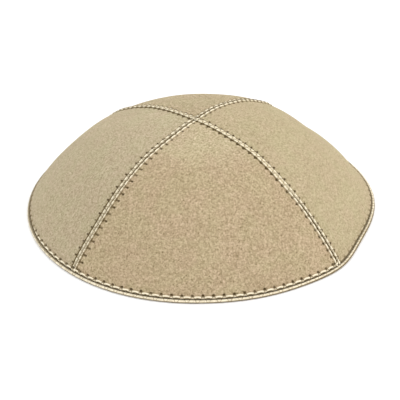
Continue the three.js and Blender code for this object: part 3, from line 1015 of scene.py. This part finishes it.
def trim_bulge(bearing):
    """How far the trim bulges out, as a share of its most, or below 0 where it is tucked in."""
    return sum(share * bump(turn(place, bearing), width) for place, width, share in TRIM_PLACES)


def trim_section():
    """Rounded section of the trim, off the wall and up the wall from its centre."""
    angle = 2 * math.pi * (np.arange(TRIM_SECTION_POINTS) + 0.5) / TRIM_SECTION_POINTS
    power = 2 / TRIM_ROUNDNESS
    off = TRIM_WIDTH / 2 * np.sign(np.cos(angle)) * np.abs(np.cos(angle)) ** power
    up = TRIM_HEIGHT / 2 * np.sign(np.sin(angle)) * np.abs(np.sin(angle)) ** power
    return off, up


def trim_half_width(up):
    """Half the trim's width at places up the wall."""
    share = np.clip((TRIM_UP - up) / (TRIM_HEIGHT / 2), -1, 1)
    return TRIM_WIDTH / 2 * (1 - np.abs(share) ** TRIM_ROUNDNESS) ** (1 / TRIM_ROUNDNESS)


def make_trim():
    """The folded strip round the rim, bulging between its stitches and pressed flat where it rests."""
    off, up = trim_section()
    bearing = np.arange(TRIM_SEGMENTS) * 360 / TRIM_SEGMENTS
    swell = 1 + TRIM_SWELL * (1 - 2 * at_holes(rim_phase(bearing) + 0.5))
    grid = np.broadcast_to(bearing[:, None], (TRIM_SEGMENTS, TRIM_SECTION_POINTS))
    outer_share = np.clip(off / (TRIM_WIDTH / 2), 0, 1)[None, :]
    bulge = trim_bulge(bearing)[:, None]
    offs = TRIM_OFF + off[None, :] * swell[:, None] + TRIM_BULGE * bulge * outer_share
    ups = TRIM_UP + np.broadcast_to(up[None, :], grid.shape)
    points = rim_point(grid, offs, ups) - MIDDLE
    points[..., 2] = np.maximum(points[..., 2], 0)
    bulges = np.broadcast_to(bulge, grid.shape)
    section = np.stack([offs / MM, (ups - TRIM_UP) / MM, bulges], axis=-1).reshape(-1, 3)
    faces = tube_faces(TRIM_SEGMENTS, TRIM_SECTION_POINTS, closed=True)
    piece = new_piece(
        "rim_trim_suede", points.reshape(-1, 3), faces.tolist(), (trim_material(),),
        vectors={"trim_section": section},
    )
    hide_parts("rim_trim")
    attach(piece, "root")


def make_thread(name, centres, ups, material):
    """A thread as a capped tube along a line of points, with the direction away from the hide at each."""
    along = unit(np.gradient(centres, axis=0))
    side = unit(np.cross(along, ups))
    top = np.cross(side, along)
    angle = 2 * math.pi * np.arange(THREAD_SIDES) / THREAD_SIDES
    ring = side[:, None, :] * np.cos(angle)[None, :, None] + top[:, None, :] * np.sin(angle)[None, :, None]
    points = centres[:, None, :] + THREAD_RADIUS * ring
    first_cap = np.arange(THREAD_SIDES)
    last_cap = (len(centres) - 1) * THREAD_SIDES + first_cap[::-1]
    tube = tube_faces(len(centres), THREAD_SIDES, closed=False)
    faces = [*tube.tolist(), first_cap.tolist(), last_cap.tolist()]
    piece = new_piece(name, points.reshape(-1, 3), faces, (material,), crisp=False)
    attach(piece, "root")


def thread_height(away, hole, lip_place, lip):
    """Height of a thread over the dome: across the lip, down beside it and into its hole."""
    over = LIP_RISE * lip * (1 - LIP_PINCH * LIP_UNDER_THREAD) + THREAD_RADIUS * THREAD_OVER_LIP
    beside = THREAD_RADIUS * THREAD_BESIDE_LIP
    starts_down, is_down = THREAD_COMES_DOWN
    starts_in, is_in = THREAD_DIVES
    height = over + (beside - over) * smooth_step(lip_place + starts_down, lip_place + is_down, away)
    return height + (-THREAD_DIVE - beside) * smooth_step(hole - starts_in, hole - is_in, away)


def inside_height(away, hole):
    """Height of a thread on the back of the hide: against it, then up into its hole."""
    against = -PANEL_WALL - THREAD_RADIUS * THREAD_ON_BACK
    starts_in, is_in = BACK_DIVES
    return against + BACK_DIVE * smooth_step(hole - starts_in, hole - is_in, away)


def seam_thread_line(name, start_length, inside):
    """Centre line of the thread along one seam, down from the crown, and the way off the hide.

    At each whole stitch it is in a hole of the panel that starts at the seam, and half way to the next
    in one of the panel that ends there.
    """
    lengths = seam_lengths[name]
    first = start_length / SEAM_PITCH
    last = (lengths[-1] - RIM_STOP) / SEAM_PITCH
    phase = np.linspace(first, last, int((last - first) * 2 * POINTS_PER_LEG))
    reach = np.interp(phase * SEAM_PITCH, lengths, seam_reaches)
    bearing = seam_bearing(name, reach)
    base = dome_point(bearing, reach)
    normal = dome_normal(bearing, reach)
    step = 0.002
    below = dome_point(bearing, np.minimum(1, reach + step))
    above = dome_point(bearing, reach - step)
    left = np.cross(normal, unit(below - above))
    start, end = (seam_form(name, side, phase) for side in (0, 1))
    sideways = -end["hole"] + (start["hole"] + end["hole"]) * zigzag(phase)
    away = np.abs(sideways)
    hole, lip = (np.where(sideways > 0, start[key], end[key]) for key in ("hole", "lip"))
    if inside:
        over_hide = inside_height(away, hole)
    else:
        over_hide = thread_height(away, hole, start["lip_place"], lip)
    height = hide_waves(base, reach) - SEAM_SINK + over_hide
    return base + left * sideways[:, None] + normal * height[:, None] - MIDDLE, normal


def make_seam_threads(side, material):
    """Zigzag thread on the four seams. One seam runs over the crown, and the other stops beside it."""
    inside = side == "inside"
    halves = [seam_thread_line(name, CROWN_STOP, inside) for name in ("front_left", "back_right")]
    centres, ups = (np.concatenate([left[::-1], right]) for left, right in zip(*halves))
    make_thread(f"thread_over_crown_{side}", centres, ups, material)
    for name in ("front_right", "back_left"):
        centres, ups = seam_thread_line(name, CROSSING_CLEARANCE, inside)
        make_thread(f"thread_{name}_{side}", centres, ups, material)


def make_rim_thread(side, material):
    """Zigzag thread round the rim, from a hole in the panel over the joint and under the trim."""
    phase = np.linspace(0, RIM_STITCHES, RIM_STITCHES * 2 * POINTS_PER_LEG + 1)
    bearing = np.interp(phase / RIM_STITCHES * rim_lengths[-1], rim_lengths, rim_bearings)
    low = TRIM_UP - UNDER_TRIM * TRIM_HEIGHT
    up = low + (RIM_HOLES - low) * zigzag(phase)
    half_width = trim_half_width(up)
    if side == "inside":
        off = inside_height(up, RIM_HOLES)
        on_trim = TRIM_OFF - half_width - THREAD_RADIUS * THREAD_ON_TRIM
    else:
        off = thread_height(up, RIM_HOLES, RIM_LIP_PLACE, rim_lip(bearing))
        on_trim = TRIM_OFF + half_width - THREAD_RADIUS * THREAD_ON_TRIM + TRIM_BULGE * trim_bulge(bearing)
    off = off + (on_trim - off) * smooth_step(ONTO_TRIM_START, TRIM_UP * ONTO_TRIM, up)
    centres = rim_point(bearing, off, up) - MIDDLE
    centres[:, 2] = np.maximum(centres[:, 2], THREAD_RADIUS)
    ups = unit(rim_outward(bearing) * OFF_WALL[0] + UPRIGHT * OFF_WALL[1])
    make_thread(f"thread_rim_{side}", centres, ups, material)


def make_floor():
    """A plain pale floor, far wider than the view."""
    half = FLOOR_HALF_WIDTH
    corners = np.array([(-half, -half, 0), (half, -half, 0), (half, half, 0), (-half, half, 0)])
    floor = new_piece("floor", corners, [(0, 1, 2, 3)], (floor_material(),), crisp=False)


def make_lights():
    """Soft studio light: a bright even surround, and broad square lights that face the cap."""
    world = bpy.data.worlds.new("studio")
    world.use_nodes = True
    background = world.node_tree.nodes["Background"]
    background.inputs["Color"].default_value = colour(1.0, 1.0, 1.0)
    background.inputs["Strength"].default_value = 1.0
    bpy.context.scene.world = world
    for name, (place, size, power, tint) in LIGHTS.items():
        data = bpy.data.lights.new(name, "AREA")
        data.shape = "SQUARE"
        data.size = size
        data.energy = power
        data.color = tint
        lamp = bpy.data.objects.new(name, data)
        lamp.location = place
        lamp.rotation_euler = (Vector(LIGHT_TARGET) - Vector(place)).to_track_quat("-Z", "Y").to_euler()
        bpy.context.scene.collection.objects.link(lamp)
    bpy.context.scene.view_settings.view_transform = "Standard"
    bpy.context.scene.view_settings.look = "None"


def make_camera():
    """A camera at the photo's viewing angle, slightly rolled as the photo's is."""
    data = bpy.data.cameras.new("camera")
    data.sensor_width = SENSOR_WIDTH
    data.lens = FOCAL_PIXELS / PHOTO_SIZE * SENSOR_WIDTH
    data.clip_start = 0.01
    data.clip_end = 20
    back = Vector((
        math.sin(CAMERA_AZIMUTH) * math.cos(CAMERA_ELEVATION),
        -math.cos(CAMERA_AZIMUTH) * math.cos(CAMERA_ELEVATION),
        math.sin(CAMERA_ELEVATION),
    ))
    right = (-back).cross(Vector((0, 0, 1))).normalized()
    up = right.cross(-back)
    rolled_right = right * math.cos(CAMERA_ROLL) + up * math.sin(CAMERA_ROLL)
    rolled_up = up * math.cos(CAMERA_ROLL) - right * math.sin(CAMERA_ROLL)
    camera = bpy.data.objects.new("camera", data)
    turned = Matrix((rolled_right, rolled_up, back)).transposed().to_4x4()
    camera.matrix_world = Matrix.Translation(CAMERA_TARGET + back * CAMERA_DISTANCE) @ turned
    bpy.context.scene.collection.objects.link(camera)
    bpy.context.scene.camera = camera


make_camera()
make_lights()
make_floor()
suede_back = lining_side_material()
for panel_name in PANELS:
    make_panel(panel_name, suede_back)
make_trim()
thread = thread_material()
for thread_side in ("outside", "inside"):
    make_seam_threads(thread_side, thread)
    make_rim_thread(thread_side, thread)
